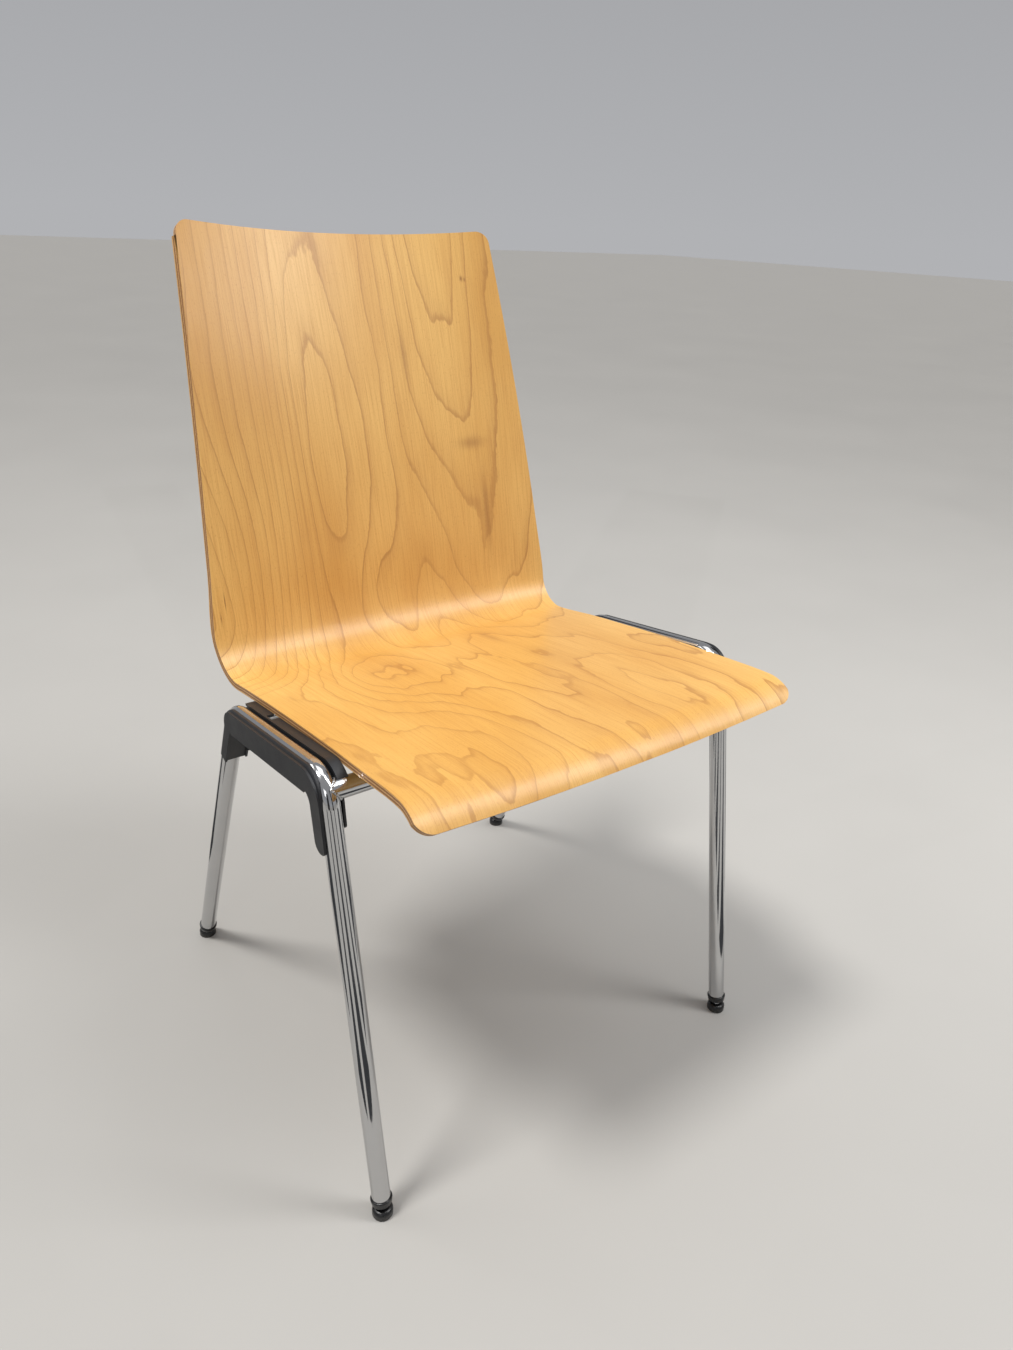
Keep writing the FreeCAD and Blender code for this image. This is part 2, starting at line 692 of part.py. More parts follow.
# ------------------------------------------------------------------ output

def main():
    os.makedirs("parts", exist_ok=True)
    parts = {}
    shell = seat_shell()
    parts["spacer_pads"] = spacer_pads(shell)
    parts["seat_inserts"] = inserts(shell)
    parts["seat_screws"] = seat_screws(shell)
    for pocket in insert_pockets(shell):
        shell = shell.cut(pocket)
    parts["seat_shell"] = shell
    tube = side_tube()
    moulding = stack_moulding()
    for hole in rivet_holes(RIVET_R):
        tube = tube.cut(hole)
        moulding = moulding.cut(hole)
    bar = strap()
    parts["side_tube_right"], parts["side_tube_left"] = tube, mirrored(tube)
    parts["stack_moulding_right"], parts["stack_moulding_left"] = moulding, mirrored(moulding)
    parts["seat_strap_right"], parts["seat_strap_left"] = bar, mirrored(bar)
    parts["cross_tube_front"] = cross_tube(front_cross_centre())
    parts["cross_tube_rear"] = cross_tube(rear_cross_centre())
    parts["moulding_rivets"] = moulding_rivets()
    for end, front in (("front", True), ("rear", False)):
        for name, make in (("plug", glide_plug), ("stud", glide_stud), ("foot", glide_foot)):
            shape = make(front)
            parts["glide_%s_%s_right" % (name, end)] = shape
            parts["glide_%s_%s_left" % (name, end)] = mirrored(shape)
    for name, shape in parts.items():
        shape.translate(V(0, PLAN_SHIFT, 0))
        shape.exportStep("parts/%s.step" % name)
        print(name, shape.isValid(), len(shape.Solids), round(shape.Volume, 1))


main()
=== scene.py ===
"""Looks of the stacking chair: veneer, ply edge, chrome, plastic, welds, light and camera. Metres."""
import math

import bmesh
import bpy
from mathutils import Matrix, Vector


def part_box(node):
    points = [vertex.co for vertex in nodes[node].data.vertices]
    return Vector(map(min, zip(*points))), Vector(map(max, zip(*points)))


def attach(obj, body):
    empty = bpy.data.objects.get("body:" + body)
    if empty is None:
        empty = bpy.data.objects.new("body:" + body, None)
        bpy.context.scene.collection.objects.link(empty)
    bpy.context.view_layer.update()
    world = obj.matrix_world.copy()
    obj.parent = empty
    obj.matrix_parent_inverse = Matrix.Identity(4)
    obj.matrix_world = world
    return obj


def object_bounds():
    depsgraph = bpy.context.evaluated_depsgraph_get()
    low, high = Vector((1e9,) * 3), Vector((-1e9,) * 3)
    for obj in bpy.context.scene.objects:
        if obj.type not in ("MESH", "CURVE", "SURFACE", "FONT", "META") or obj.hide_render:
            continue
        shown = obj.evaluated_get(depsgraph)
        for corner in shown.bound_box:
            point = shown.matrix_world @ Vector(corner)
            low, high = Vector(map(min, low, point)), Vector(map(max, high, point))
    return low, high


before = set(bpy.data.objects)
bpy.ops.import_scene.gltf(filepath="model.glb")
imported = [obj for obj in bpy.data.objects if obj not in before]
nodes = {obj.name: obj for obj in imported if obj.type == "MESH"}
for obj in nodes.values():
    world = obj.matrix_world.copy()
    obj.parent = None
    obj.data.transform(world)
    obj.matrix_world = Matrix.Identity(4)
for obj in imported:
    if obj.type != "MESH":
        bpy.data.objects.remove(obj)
cad_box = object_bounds()

# ---- the shell's edge profile, as in the CAD: length, heading at its start and end (0 is straight down)
SHELL_T = 0.0075
PLIES = 5
PROFILE_TOP = (0.24361, 0.8755)
PROFILE = (
    (0.4218, 18.4, 10.7),
    (0.040 * math.radians(89.4), 10.7, 100.1),
    (0.3365, 100.1, 94.7),
    (0.040 * math.radians(63.7), 94.7, 31.0),
)
CUT_AT = math.radians(60.0)  # headings are read from half a turn below this to half a turn above it
# ---- at the five ends of those stretches: half the shell's width, and how much deeper its middle lies
HALF_MARKS = (0.1876, 0.2233, 0.2196, 0.2196, 0.2215)
SAG_MARKS = (0.0305, 0.0155, 0.0041, 0.0041, 0.0010)


# ------------------------------------------------------------------ node helpers

class Nodes:
    """Shorthand for building a node tree; values may be sockets or plain numbers."""

    def __init__(self, name, metallic=0.0, roughness=0.5):
        self.material = bpy.data.materials.new(name)
        self.material.use_nodes = True
        self.tree = self.material.node_tree
        self.shader = self.tree.nodes["Principled BSDF"]
        self.shader.inputs["Metallic"].default_value = metallic
        self.shader.inputs["Roughness"].default_value = roughness
        self.column = 0

    def add(self, kind, **settings):
        node = self.tree.nodes.new(kind)
        self.column += 1
        node.location = (-300 - 180 * (self.column % 12), -220 * (self.column // 12))
        for key, value in settings.items():
            setattr(node, key, value)
        return node

    def feed(self, socket, value):
        if isinstance(value, bpy.types.NodeSocket):
            self.tree.links.new(value, socket)
        else:
            socket.default_value = value

    def math(self, operation, *values):
        node = self.add("ShaderNodeMath", operation=operation)
        for socket, value in zip(node.inputs, values):
            self.feed(socket, value)
        return node.outputs[0]

    def plus(self, a, b):
        return self.math("ADD", a, b)

    def minus(self, a, b):
        return self.math("SUBTRACT", a, b)

    def times(self, a, b):
        return self.math("MULTIPLY", a, b)

    def fade(self, value, low, high, to_low=0.0, to_high=1.0):
        """Smooth step of value from low..high to to_low..to_high."""
        node = self.add("ShaderNodeMapRange", interpolation_type="SMOOTHSTEP")
        for key, number in (("From Min", low), ("From Max", high), ("To Min", to_low), ("To Max", to_high)):
            self.feed(node.inputs[key], number)
        self.feed(node.inputs["Value"], value)
        return node.outputs["Result"]

    def choose(self, mask, a, b):
        """a where the mask is 0, b where it is 1."""
        node = self.add("ShaderNodeMix", data_type="FLOAT")
        self.feed(node.inputs[0], mask)
        self.feed(node.inputs[2], a)
        self.feed(node.inputs[3], b)
        return node.outputs[0]

    def paint(self, mask, a, b):
        """Colour a where the mask is 0, b where it is 1."""
        node = self.add("ShaderNodeMix", data_type="RGBA")
        self.feed(node.inputs[0], mask)
        self.feed(node.inputs[6], a)
        self.feed(node.inputs[7], b)
        return node.outputs[2]

    def vector(self, x, y, z):
        node = self.add("ShaderNodeCombineXYZ")
        for socket, value in zip(node.inputs, (x, y, z)):
            self.feed(socket, value)
        return node.outputs[0]

    def split(self, vector):
        node = self.add("ShaderNodeSeparateXYZ")
        self.feed(node.inputs[0], vector)
        return node.outputs

    def place(self):
        """The point on the object, in metres."""
        return self.add("ShaderNodeTexCoord").outputs["Object"]

    def noise(self, vector, scale, detail=3.0, rough=0.5):
        node = self.add("ShaderNodeTexNoise")
        self.feed(node.inputs["Vector"], vector)
        for key, number in (("Scale", scale), ("Detail", detail), ("Roughness", rough)):
            self.feed(node.inputs[key], number)
        return node.outputs["Fac"]

    def stretched(self, vector, factors):
        """The vector with each of its parts times its own factor."""
        return self.vector(*[self.times(part, factor) for part, factor in zip(self.split(vector), factors)])

    def bump(self, height, strength, distance):
        node = self.add("ShaderNodeBump")
        self.feed(node.inputs["Strength"], strength)
        self.feed(node.inputs["Distance"], distance)
        self.feed(node.inputs["Height"], height)
        return node.outputs["Normal"]

    def set(self, key, value):
        self.feed(self.shader.inputs[key], value)


def rgb(red, green, blue):
    """Linear colour from 0-255 screen values."""
    def linear(v):
        v /= 255.0
        return v / 12.92 if v <= 0.04045 else ((v + 0.055) / 1.055) ** 2.4
    return (linear(red), linear(green), linear(blue), 1.0)


# ------------------------------------------------------------------ plywood

def profile_arcs():
    """Centre, signed radius, first heading in radians and length of each arc, in the plane of y and z."""
    out = []
    y, z = PROFILE_TOP
    for length, start, end in PROFILE:
        a, b = math.radians(start), math.radians(end)
        radius = length / (b - a)
        centre = (y - math.cos(a) * radius, z + math.sin(a) * radius)
        out.append((centre, radius, a, length))
        y = centre[0] + math.cos(b) * radius
        z = centre[1] - math.sin(b) * radius
    return out


def shell_place(n):
    """Sockets for: across the shell, distance down the veneer, depth from the sitting face, heading."""
    x, y, z = n.split(n.place())
    runs, depths, angles = [], [], []
    start = 0.0
    for (cy, cz), radius, a0, length in profile_arcs():
        vy, vz = n.minus(y, cy), n.minus(z, cz)
        side = 1.0 if radius > 0 else -1.0
        cosine, sine = n.times(vy, side), n.times(vz, -side)
        turned_cos = n.plus(n.times(cosine, math.cos(CUT_AT)), n.times(sine, math.sin(CUT_AT)))
        turned_sin = n.minus(n.times(sine, math.cos(CUT_AT)), n.times(cosine, math.sin(CUT_AT)))
        angle = n.plus(n.math("ARCTAN2", turned_sin, turned_cos), CUT_AT)
        away = n.math("SQRT", n.plus(n.times(vy, vy), n.times(vz, vz)))
        runs.append(n.plus(n.times(n.minus(angle, a0), radius), start))
        depths.append(n.times(n.minus(away, abs(radius)), side))
        angles.append(angle)
        start += length
    marks = [0.0]
    for length, _, _ in PROFILE:
        marks.append(marks[-1] + length)
    in_bend = n.math("GREATER_THAN", runs[1], marks[1])
    in_seat = n.math("GREATER_THAN", runs[1], marks[2])
    in_lip = n.math("GREATER_THAN", runs[3], marks[3])

    def pick(values):
        upper = n.choose(in_bend, values[0], values[1])
        return n.choose(in_lip, n.choose(in_seat, upper, values[2]), values[3])

    run, depth, heading = pick(runs), pick(depths), pick(angles)
    half = piecewise(n, run, marks, HALF_MARKS)
    sag = piecewise(n, run, marks, SAG_MARKS)
    share = n.math("DIVIDE", x, half)
    depth = n.minus(depth, n.times(sag, n.minus(1.0, n.times(share, share))))
    return x, run, depth, heading


def piecewise(n, run, marks, values):
    """Linear between the profile's marks."""
    out = values[0]
    for i in range(len(values) - 1):
        node = n.add("ShaderNodeMapRange")
        n.feed(node.inputs["From Min"], marks[i])
        n.feed(node.inputs["From Max"], marks[i + 1])
        n.feed(node.inputs["To Min"], 0.0)
        n.feed(node.inputs["To Max"], values[i + 1] - values[i])
        n.feed(node.inputs["Value"], run)
        out = n.plus(out, node.outputs["Result"])
    return out


def veneer_noise(n, u, s, across, along, cut, *settings):
    """Noise with so many cells per metre across and along the veneer; cut picks another slice of it."""
    return n.noise(n.vector(n.times(u, across), n.times(s, along), cut), 1.0, *settings)


def hill(n, u, s, at, size, height):
    """A smooth mound about a point of the veneer; at the distance size it has fallen to about a third."""
    du = n.math("DIVIDE", n.minus(u, at[0]), size[0])
    ds = n.math("DIVIDE", n.minus(s, at[1]), size[1])
    d = n.plus(n.times(du, du), n.times(ds, ds))
    return n.times(n.math("EXPONENT", n.times(d, -1.0)), height)


# place across and down the veneer, size across and along, height in rings
HILLS = (
    (-0.062, 0.210, 0.044, 0.200, 2.9),
    (0.125, -0.020, 0.050, 0.230, -3.3),
    (0.066, 0.480, 0.034, 0.150, 1.9),
    (0.000, 0.400, 0.030, 0.060, -1.0),
    (-0.080, 0.560, 0.055, 0.080, 2.6),
    (0.012, 0.640, 0.030, 0.090, 2.0),
    (0.115, 0.820, 0.055, 0.230, 3.0),
    (-0.110, 0.790, 0.060, 0.110, -2.2),
    (-0.240, 0.180, 0.070, 0.160, 2.4),
)

RING_STEEPNESS = 7.0  # rings per metre across the sheet
LEFT_RINGS, MIDDLE_RINGS = -9.0, -2.6  # rings added towards the left edge and right of the middle

# place across and down the veneer, size across and along, darkness
MARKS = (
    (0.1490, 0.0520, 0.0016, 0.0030, 0.75),
    (0.1530, 0.0535, 0.0011, 0.0022, 0.60),
    (0.1475, 0.3300, 0.0042, 0.0420, 0.42),
    (0.1360, 0.2440, 0.0170, 0.0070, 0.38),
    (0.0620, 0.1350, 0.0040, 0.0300, 0.30),
    (-0.2060, 0.3820, 0.0006, 0.0090, 0.85),
    (-0.2130, 0.3990, 0.0005, 0.0060, 0.75),
    (0.0780, 0.5220, 0.0060, 0.0300, 0.30),
)


def ring_lines(n, u, s):
    """0 on plain wood, rising to 1 on the thin dark lines where a growth ring ends."""
    land = n.times(veneer_noise(n, u, s, 8.0, 2.2, 3.7, 1.0, 0.4), 3.4)
    curl = n.fade(s, 0.42, 0.58, 0.80, 2.0)
    land = n.plus(land, n.times(veneer_noise(n, u, s, 30.0, 8.0, 1.3, 2.0, 0.42), curl))
    land = n.plus(land, n.times(veneer_noise(n, u, s, 300.0, 110.0, 8.1, 1.0, 0.5), 0.06))
    land = n.plus(land, n.times(u, RING_STEEPNESS))
    middle = n.fade(u, 0.0, 0.085, 0.0, MIDDLE_RINGS)
    land = n.plus(land, n.times(middle, n.fade(s, 0.38, 0.55, 1.0, 0.3)))
    left = n.fade(u, -0.07, -0.24, 0.0, 1.0)
    land = n.plus(land, n.times(n.times(left, LEFT_RINGS), n.fade(s, 0.40, 0.56, 1.0, 0.25)))
    for across, down, wide_u, wide_s, height in HILLS:
        land = n.plus(land, hill(n, u, s, (across, down), (wide_u, wide_s), height))
    saw = n.math("FRACT", land)
    rise = n.fade(saw, 0.55, 0.97)
    fall = n.fade(saw, 0.97, 1.0, 1.0, 0.0)
    sharp = n.fade(saw, 0.87, 0.965)
    line = n.times(n.plus(n.times(rise, 0.32), n.times(sharp, 0.68)), fall)
    strength = n.fade(veneer_noise(n, u, s, 14.0, 5.0, 5.5, 2.0), 0.3, 0.7, 0.5, 1.0)
    return n.times(line, strength)


RAG_DEPTH = 0.004  # how far the outline of a large mark wanders, side to side
RAGGED_FROM = 0.003  # marks wider than this have a ragged outline


def stains(n, u, s):
    """Small knots, mineral streaks and the darker wood where a ring turns back."""
    out = 0.0
    rag = n.times(n.minus(veneer_noise(n, u, s, 500.0, 160.0, 2.9, 2.0), 0.5), RAG_DEPTH)
    ragged = n.plus(u, rag)
    for across, down, wide_u, wide_s, dark in MARKS:
        from_u = ragged if wide_u > RAGGED_FROM else u
        out = n.plus(out, hill(n, from_u, s, (across, down), (wide_u, wide_s), dark))
    return out


WOOD_PALE, WOOD_DEEP = rgb(228, 182, 103), rgb(209, 156, 76)
WOOD_STREAK, WOOD_FLECK = rgb(190, 134, 62), rgb(168, 104, 42)
WOOD_LINE, WOOD_STAIN = rgb(148, 90, 30), rgb(122, 66, 22)
PLY_PALE, PLY_DARK = rgb(214, 168, 108), rgb(150, 98, 52)
PLY_GRAIN, PLY_GLUE = rgb(120, 76, 40), rgb(78, 46, 24)


def veneer(n, u, s):
    """The flat of the sheet: its colour, ring lines, long streaks and short flecks."""
    line = ring_lines(n, u, s)
    stain = stains(n, u, s)
    tone = veneer_noise(n, u, s, 7.0, 2.2, 4.4, 3.0, 0.55)
    streak = veneer_noise(n, u, s, 900.0, 14.0, 2.2, 3.0, 0.6)
    fleck = n.fade(veneer_noise(n, u, s, 1500.0, 330.0, 6.2, 1.0, 0.5), 0.60, 0.74)
    wood = n.paint(n.fade(tone, 0.3, 0.72), WOOD_PALE, WOOD_DEEP)
    wood = n.paint(n.fade(streak, 0.35, 0.8, 0.0, 0.55), wood, WOOD_STREAK)
    wood = n.paint(n.times(fleck, 0.30), wood, WOOD_FLECK)
    wood = n.paint(n.times(line, 0.55), wood, WOOD_LINE)
    wood = n.paint(stain, wood, WOOD_STAIN)
    return wood, line, streak, fleck


def cut_edge(n, depth):
    """The layers on the cut edge, pale and dark by turns, with dark glue between them."""
    layer = n.math("FRACT", n.math("DIVIDE", depth, SHELL_T / PLIES))
    odd = n.math("GREATER_THAN", n.math("FRACT", n.math("DIVIDE", depth, SHELL_T / (PLIES / 2))), 0.5)
    grain = n.noise(n.place(), 900.0, 3.0, 0.6)
    ply = n.paint(odd, PLY_PALE, PLY_DARK)
    ply = n.paint(n.fade(grain, 0.35, 0.7, 0.0, 0.5), ply, PLY_GRAIN)
    glue = n.plus(n.fade(layer, 0.12, 0.0), n.fade(layer, 0.88, 1.0))
    return n.paint(n.times(glue, 0.7), ply, PLY_GLUE)


ARRIS_START, ARRIS_END = 0.0003, 0.0009  # depth in which the veneer gives way to the cut edge


def edge_mask(n, depth, heading):
    """1 on the cut edge, 0 on the two faces."""
    normal = n.split(n.add("ShaderNodeNewGeometry").outputs["Normal"])
    by_y = n.times(normal[1], n.math("COSINE", heading))
    by_z = n.times(normal[2], n.math("SINE", heading))
    flat = n.fade(n.math("ABSOLUTE", n.minus(by_y, by_z)), 0.72, 0.82)
    below_face = n.fade(depth, ARRIS_START, ARRIS_END)
    above_back = n.fade(depth, SHELL_T - ARRIS_END, SHELL_T - ARRIS_START, 1.0, 0.0)
    return n.times(n.times(below_face, above_back), n.minus(1.0, flat))


BACK_U, BACK_S = 0.03, 1.9  # where on the pattern the back of the shell is taken from, mirrored


def plywood():
    n = Nodes("plywood_lacquered_beech", roughness=0.42)
    x, run, depth, heading = shell_place(n)
    behind = n.math("GREATER_THAN", depth, SHELL_T / 2)
    u = n.choose(behind, x, n.minus(BACK_U, x))
    s = n.choose(behind, run, n.plus(run, BACK_S))
    wood, line, streak, fleck = veneer(n, u, s)
    edge = edge_mask(n, depth, heading)
    n.set("Base Color", n.paint(edge, wood, cut_edge(n, depth)))
    rough = n.fade(streak, 0.2, 0.8, 0.36, 0.46)
    rough = n.plus(rough, n.times(line, 0.05))
    n.set("Roughness", n.choose(edge, rough, 0.62))
    pores = n.plus(n.times(streak, 0.5), n.times(fleck, -0.5))
    n.set("Normal", n.bump(n.minus(pores, n.times(line, 0.4)), 0.10, 0.0004))
    n.shader.inputs["Coat Weight"].default_value = 0.35
    n.shader.inputs["Coat Roughness"].default_value = 0.27
    n.shader.inputs["Coat IOR"].default_value = 1.5
    return n.material


# ------------------------------------------------------------------ metal, plastic and rubber

def chrome():
    n = Nodes("chrome_bright", metallic=1.0, roughness=0.07)
    p = n.place()
    cloud = n.noise(p, 22.0, 4.0, 0.6)
    fine = n.noise(p, 1400.0, 2.0, 0.5)
    n.set("Base Color", n.paint(cloud, rgb(190, 191, 193), rgb(206, 206, 206)))
    n.set("Roughness", n.plus(n.fade(cloud, 0.4, 0.7, 0.045, 0.10), n.times(fine, 0.03)))
    drawn = n.stretched(p, (260.0, 260.0, 12.0))
    n.set("Normal", n.bump(n.noise(drawn, 1.0, 2.0), 0.03, 0.0002))
    return n.material


def strap_steel():
    n = Nodes("steel_zinc_dull", metallic=1.0, roughness=0.35)
    p = n.place()
    cloud = n.noise(p, 60.0, 4.0, 0.6)
    n.set("Base Color", n.paint(cloud, rgb(150, 152, 154), rgb(186, 186, 182)))
    n.set("Roughness", n.fade(cloud, 0.3, 0.7, 0.26, 0.42))
    rolled = n.stretched(p, (1200.0, 30.0, 30.0))
    n.set("Normal", n.bump(n.noise(rolled, 1.0, 2.0), 0.10, 0.0002))
    return n.material


def black_moulding():
    n = Nodes("moulding_black_nylon", roughness=0.42)
    p = n.place()
    cloud = n.noise(p, 30.0, 3.0, 0.6)
    grain = n.noise(p, 2600.0, 2.0, 0.6)
    # near-black nylon; the slight blue in both colours is a painted reflection of cool window light
    n.set("Base Color", n.paint(cloud, rgb(20, 21, 24), rgb(32, 34, 38)))
    n.set("Roughness", n.plus(n.fade(cloud, 0.3, 0.7, 0.34, 0.44), n.times(grain, 0.08)))
    n.set("Normal", n.bump(grain, 0.20, 0.00025))
    return n.material


def glide_plastic():
    n = Nodes("glide_black_polyamide", roughness=0.3)
    p = n.place()
    scuff = n.noise(p, 260.0, 4.0, 0.65)
    low = n.fade(n.split(p)[2], 0.006, 0.0, 0.0, 1.0)
    worn = n.times(low, n.fade(scuff, 0.4, 0.7))
    n.set("Base Color", n.paint(worn, rgb(22, 22, 23), rgb(86, 82, 76)))
    n.set("Roughness", n.plus(n.fade(scuff, 0.3, 0.7, 0.24, 0.36), n.times(worn, 0.3)))
    n.set("Normal", n.bump(scuff, 0.12, 0.0003))
    return n.material


def pad_rubber():
    n = Nodes("pad_rubber", roughness=0.72)
    grain = n.noise(n.place(), 1500.0, 3.0, 0.6)
    n.set("Base Color", n.paint(grain, rgb(28, 28, 28), rgb(48, 47, 45)))
    n.set("Normal", n.bump(grain, 0.35, 0.0003))
    return n.material


def bare_metal(name, low, high, roughness):
    n = Nodes(name, metallic=1.0, roughness=roughness)
    cloud = n.noise(n.place(), 500.0, 3.0, 0.6)
    n.set("Base Color", n.paint(cloud, low, high))
    n.set("Roughness", n.fade(cloud, 0.3, 0.7, roughness - 0.06, roughness + 0.08))
    return n.material


def dress(prefix, material):
    """Gives the material to every CAD node whose name starts so."""
    for name, obj in nodes.items():
        if name.startswith(prefix):
            obj.data.materials.clear()
            obj.data.materials.append(material)


bpy.context.scene.view_settings.view_transform = "Standard"

CHROME = chrome()
dress("seat_shell", plywood())
dress("side_tube", CHROME)
dress("cross_tube", CHROME)
dress("seat_strap", strap_steel())
dress("stack_moulding", black_moulding())
dress("glide_plug", glide_plastic())
dress("glide_foot", glide_plastic())
dress("spacer_pads", pad_rubber())
dress("glide_stud", bare_metal("stud_steel", rgb(150, 150, 150), rgb(196, 196, 194), 0.28))
dress("seat_screws", bare_metal("screw_zinc", rgb(160, 160, 158), rgb(205, 203, 196), 0.30))
dress("seat_inserts", bare_metal("insert_brass", rgb(178, 140, 70), rgb(206, 172, 100), 0.34))
dress("moulding_rivets", bare_metal("rivet_aluminium", rgb(176, 177, 178), rgb(210, 210, 209), 0.36))


# ------------------------------------------------------------------ welds

WELD_R = 0.0013
WELD_TURNS, WELD_RING = 120, 10  # faces round the tube, and round the bead itself
WELD_RIPPLES = ((0.00022, 26.0, 0.0), (0.00012, 7.0, 1.0))  # height, ripples round the tube, start


def weld_bead(name, centre, reach, toward, radius):
    """Rippled bead where a cross tube meets a side tube; toward is the side tube's direction in y and z."""
    bm = bmesh.new()
    rows = []
    side = 1.0 if reach > 0 else -1.0
    for i in range(WELD_TURNS):
        a = 2.0 * math.pi * i / WELD_TURNS
        out = Vector((0.0, math.cos(a), math.sin(a)))
        off = radius * (out.y * -toward[1] + out.z * toward[0])
        x = reach - side * math.sqrt(max(radius * radius - off * off, 0.0))
        middle = Vector((x, centre[0], centre[1])) + out * radius
        lean = (out - Vector((side, 0.0, 0.0))).normalized()
        across = lean.cross(Vector((0.0, -math.sin(a), math.cos(a)))).normalized()
        size = sum((high * math.sin(count * a + start) for high, count, start in WELD_RIPPLES), WELD_R)
        row = []
        for k in range(WELD_RING):
            b = 2.0 * math.pi * k / WELD_RING
            row.append(bm.verts.new(middle + (lean * math.cos(b) + across * math.sin(b)) * size))
        rows.append(row)
    for i in range(WELD_TURNS):
        here, after = rows[i], rows[(i + 1) % WELD_TURNS]
        for k in range(WELD_RING):
            beside = (k + 1) % WELD_RING
            bm.faces.new((here[k], here[beside], after[beside], after[k]))
    bmesh.ops.recalc_face_normals(bm, faces=bm.faces)
    mesh = bpy.data.meshes.new(name)
    bm.to_mesh(mesh)
    bm.free()
    mesh.shade_smooth()
    bead = bpy.data.objects.new(name, mesh)
    bpy.context.scene.collection.objects.link(bead)
    mesh.materials.append(CHROME)
    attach(bead, "chair")


# side tube's direction in y and z where each cross tube meets it
FRONT_BEND_WAY = (-0.603, -0.797)
REAR_LEG_WAY = (0.4157, -0.9095)


def weld_beads():
    for end, way in (("front", FRONT_BEND_WAY), ("rear", REAR_LEG_WAY)):
        low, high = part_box(f"cross_tube_{end}")
        middle = ((low.y + high.y) / 2, (low.z + high.z) / 2)
        for hand, reach in (("left", low.x), ("right", high.x)):
            weld_bead(f"weld_{end}_{hand}", middle, reach, way, (high.z - low.z) / 2)


weld_beads()


# ------------------------------------------------------------------ studio

FLOOR_HALF = 30.0
SUN_COLOUR = (1.0, 0.985, 0.96)
WHITE, WARM_WHITE = (1.0, 1.0, 1.0), (1.0, 0.98, 0.95)

# name, place, width, height, power, colour; each points at the middle of the chair
SOFT_BOXES = (
    ("key_light", (-1.6, 1.6, 2.6), 1.3, 0.7, 14.0, WARM_WHITE),
    ("top_light", (0.2, 0.4, 3.4), 1.8, 1.8, 16.0, WHITE),
    ("front_light", (-2.6, -2.6, 2.2), 1.2, 1.2, 8.0, WHITE),
    ("sheen_light", (1.4, -1.2, 2.6), 0.7, 2.4, 44.0, WHITE),
)

# standing cards: degrees from +Y towards +X, width, height; they stand in a circle
STANDS = ((20.0, 0.9, 3.0), (75.0, 0.7, 3.0), (128.0, 1.0, 2.4), (178.0, 0.5, 3.0),
          (215.0, 0.9, 2.0), (262.0, 0.6, 3.0), (318.0, 1.1, 1.9))
STAND_AWAY, STAND_LIFT = 3.2, 0.02

# strips on the floor: degrees from +Y towards +X, width; they lie like spokes
STRIPS = ((8.0, 0.24), (52.0, 0.36), (97.0, 0.20), (141.0, 0.30), (176.0, 0.16),
          (207.0, 0.26), (236.0, 0.14), (274.0, 0.34), (322.0, 0.22))
STRIP_AWAY, STRIP_LIFT, STRIP_LENGTH = 1.55, 0.002, 2.1


def flat_sheet(name, segments, half):
    """A flat square mesh that lies in the plane of x and y."""
    bm = bmesh.new()
    bmesh.ops.create_grid(bm, x_segments=segments, y_segments=segments, size=half)
    mesh = bpy.data.meshes.new(name)
    bm.to_mesh(mesh)
    bm.free()
    sheet = bpy.data.objects.new(name, mesh)
    bpy.context.scene.collection.objects.link(sheet)
    return sheet


def studio():
    floor = flat_sheet("studio_floor", 2, FLOOR_HALF)
    n = Nodes("studio_floor", roughness=0.5)
    cloud = n.noise(n.place(), 1.3, 4.0, 0.6)
    n.set("Base Color", n.paint(cloud, rgb(172, 170, 166), rgb(181, 179, 175)))
    n.set("Roughness", n.fade(cloud, 0.3, 0.7, 0.72, 0.85))
    n.shader.inputs["Specular IOR Level"].default_value = 0.25
    floor.data.materials.append(n.material)


def soft_box(name, at, target, width, height, power, colour):
    light = bpy.data.lights.new(name, "AREA")
    light.shape = "RECTANGLE"
    light.size, light.size_y = width, height
    light.energy = power
    light.color = colour
    obj = bpy.data.objects.new(name, light)
    obj.location = at
    obj.rotation_euler = (Vector(target) - Vector(at)).to_track_quat("-Z", "Y").to_euler()
    bpy.context.scene.collection.objects.link(obj)


def sun_light(name, toward, spread, strength):
    """Broad daylight from far away; toward points at the light, spread is its width in degrees."""
    light = bpy.data.lights.new(name, "SUN")
    light.angle = math.radians(spread)
    light.energy = strength
    light.color = SUN_COLOUR
    obj = bpy.data.objects.new(name, light)
    obj.rotation_euler = Vector(toward).to_track_quat("Z", "Y").to_euler()
    bpy.context.scene.collection.objects.link(obj)


def surroundings():
    """Soft pale light from all round: brightest level with the floor, dimmest a third of the way up."""
    world = bpy.data.worlds.new("studio")
    bpy.context.scene.world = world
    world.use_nodes = True
    tree = world.node_tree
    ramp = tree.nodes.new("ShaderNodeValToRGB")
    coords = tree.nodes.new("ShaderNodeTexCoord")
    split = tree.nodes.new("ShaderNodeSeparateXYZ")
    tree.links.new(coords.outputs["Generated"], split.inputs[0])
    tree.links.new(split.outputs[2], ramp.inputs[0])
    tree.links.new(ramp.outputs[0], tree.nodes["Background"].inputs[0])
    stops = ramp.color_ramp.elements
    stops[0].position, stops[0].color = 0.0, (0.80, 0.81, 0.84, 1)
    stops[1].position, stops[1].color = 1.0, (0.70, 0.70, 0.72, 1)
    middle = stops.new(0.35)
    middle.color = (0.62, 0.63, 0.66, 1)
    tree.nodes["Background"].inputs[1].default_value = 0.55


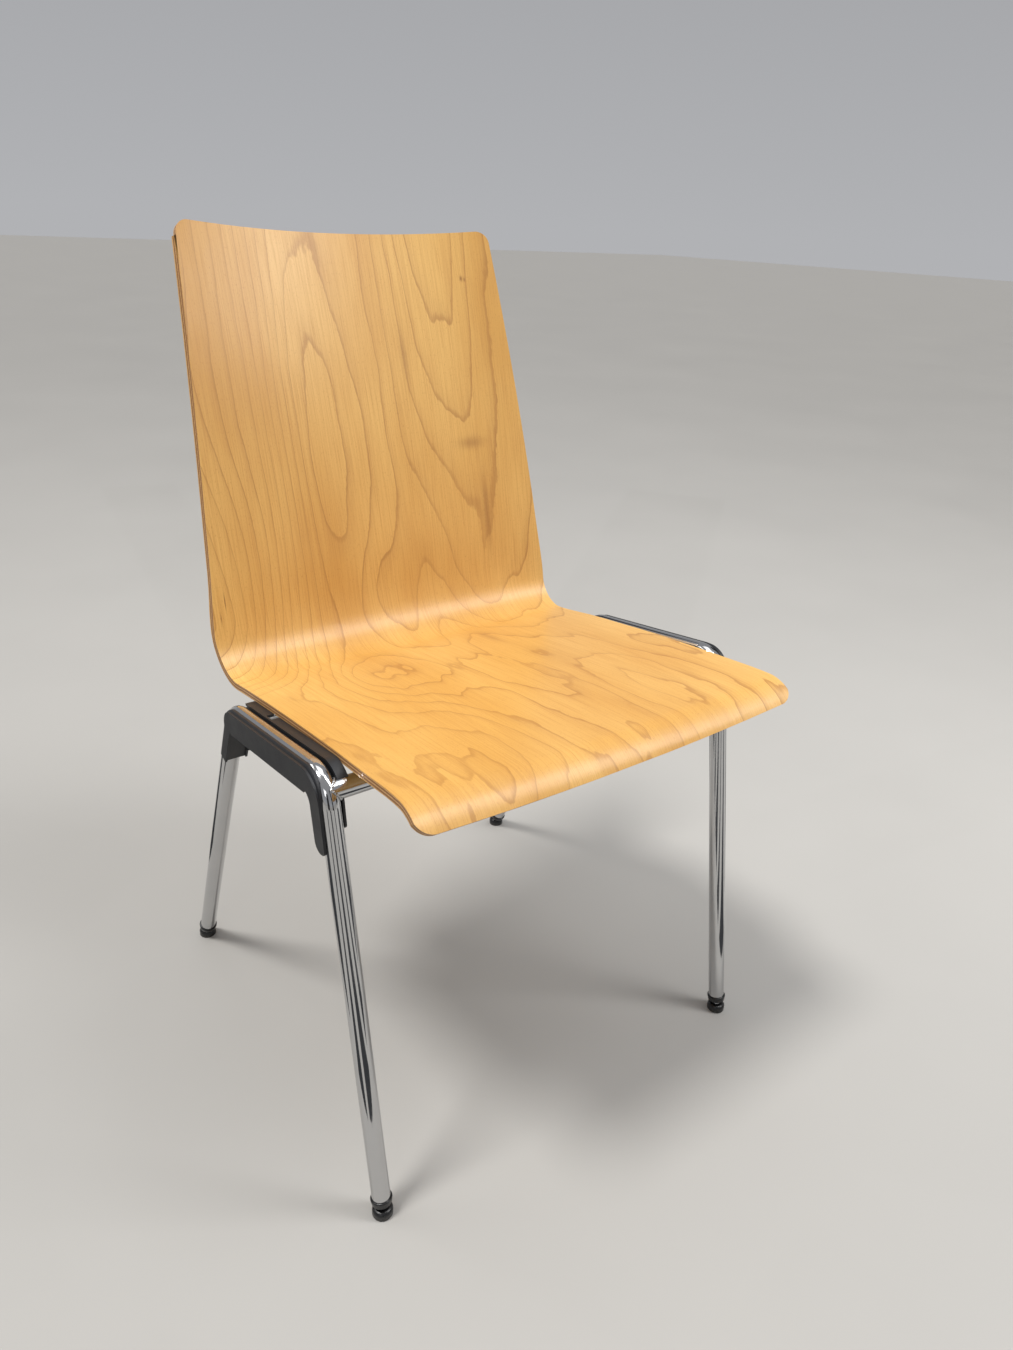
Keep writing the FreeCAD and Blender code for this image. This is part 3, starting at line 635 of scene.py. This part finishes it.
def dark_card(name, at, turn, width, height):
    """A dark card that only reflections see; it gives the chrome its dark streaks."""
    card = flat_sheet(name, 1, 0.5)
    card.location = at
    card.rotation_euler = turn
    card.scale = (width, height, 1.0)
    card.visible_camera = card.visible_diffuse = card.visible_shadow = False
    n = Nodes(name, roughness=0.9)
    cloud = n.noise(n.place(), 3.0)
    n.set("Base Color", n.paint(cloud, rgb(26, 27, 30), rgb(52, 53, 56)))
    card.data.materials.append(n.material)


def reflected_cards():
    """Standing cards all round and strips on the floor, as walls, doors and shadows are in a real room."""
    for number, (azimuth, width, height) in enumerate(STANDS):
        a = math.radians(azimuth)
        at = (math.sin(a) * STAND_AWAY, math.cos(a) * STAND_AWAY, height / 2 + STAND_LIFT)
        dark_card(f"dark_stand_{number}", at, (math.pi / 2, 0.0, -a), width, height)
    for number, (azimuth, width) in enumerate(STRIPS):
        a = math.radians(azimuth)
        at = (math.sin(a) * STRIP_AWAY, math.cos(a) * STRIP_AWAY, STRIP_LIFT)
        dark_card(f"dark_strip_{number}", at, (0.0, 0.0, -a), width, STRIP_LENGTH)


def lights():
    middle = (cad_box[0] + cad_box[1]) / 2
    sun_light("window_light", (-0.42, 0.10, 1.0), 13.0, 1.95)
    for name, at, width, height, power, colour in SOFT_BOXES:
        soft_box(name, at, middle, width, height, power, colour)


CAMERA_AT = (-0.5236, -0.7710, 0.8841)
YAW, PITCH, ROLL = -37.383, 25.893, 2.846  # degrees; pitch is down
LENS_MM, SENSOR_MM = 24.75, 36.0


def camera():
    """The photograph's viewpoint: a wide lens level with the chair's top, ahead of the left front corner."""
    yaw, pitch, roll = math.radians(YAW), math.radians(PITCH), math.radians(ROLL)
    ahead = Vector((-math.sin(yaw) * math.cos(pitch), math.cos(yaw) * math.cos(pitch), -math.sin(pitch)))
    right = Vector((math.cos(yaw), math.sin(yaw), 0.0))
    up = right.cross(ahead)
    c, s = math.cos(roll), math.sin(roll)
    side, top = right * c + up * s, up * c - right * s
    data = bpy.data.cameras.new("camera")
    data.sensor_width = SENSOR_MM
    data.lens = LENS_MM
    data.clip_start, data.clip_end = 0.05, 100.0
    obj = bpy.data.objects.new("camera", data)
    turn = Matrix((side, top, -ahead)).transposed().to_4x4()
    obj.matrix_world = Matrix.Translation(CAMERA_AT) @ turn
    bpy.context.scene.collection.objects.link(obj)
    bpy.context.scene.camera = obj


studio()
surroundings()
lights()
reflected_cards()
camera()
